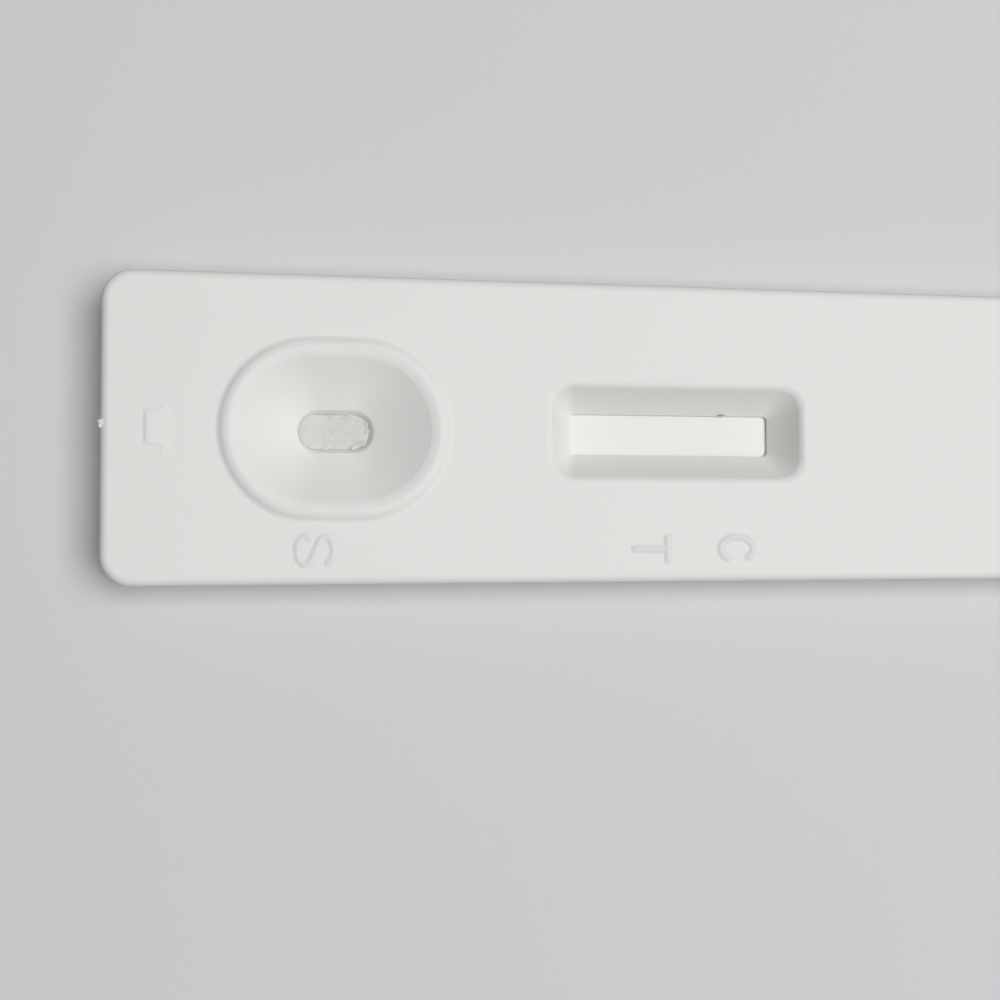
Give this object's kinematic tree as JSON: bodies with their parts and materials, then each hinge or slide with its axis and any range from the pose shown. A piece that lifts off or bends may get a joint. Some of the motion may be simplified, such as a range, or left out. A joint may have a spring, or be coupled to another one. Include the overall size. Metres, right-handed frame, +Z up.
{
  "type": "lateral flow cassette",
  "caption": "Slim white two-part casing with a rimmed sample well, a bevelled result window and a layered paper test strip pinned inside.",
  "frame": {"origin": "on the underside, below the middle of the casing's plan", "axes": "+X along the strip from the sample well to the result window, +Y across the casing, +Z up out of the well"},
  "size_m": [0.07, 0.02, 0.0049],
  "materials": {
    "casing_plastic": "satin moulded white plastic",
    "card_plastic": "smooth white film card",
    "membrane": "matt porous white membrane",
    "sample_fibre": "matt felted fibre",
    "conjugate_fibre": "matt glass fibre",
    "wick_paper": "soft absorbent paper"
  },
  "bodies": {
    "root": {"top_shell": "casing_plastic", "bottom_shell": "casing_plastic", "backing_card": "card_plastic", "nitrocellulose_membrane": "membrane", "sample_pad": "sample_fibre", "conjugate_pad": "conjugate_fibre", "absorbent_pad": "wick_paper"}
  },
  "joints": []
}
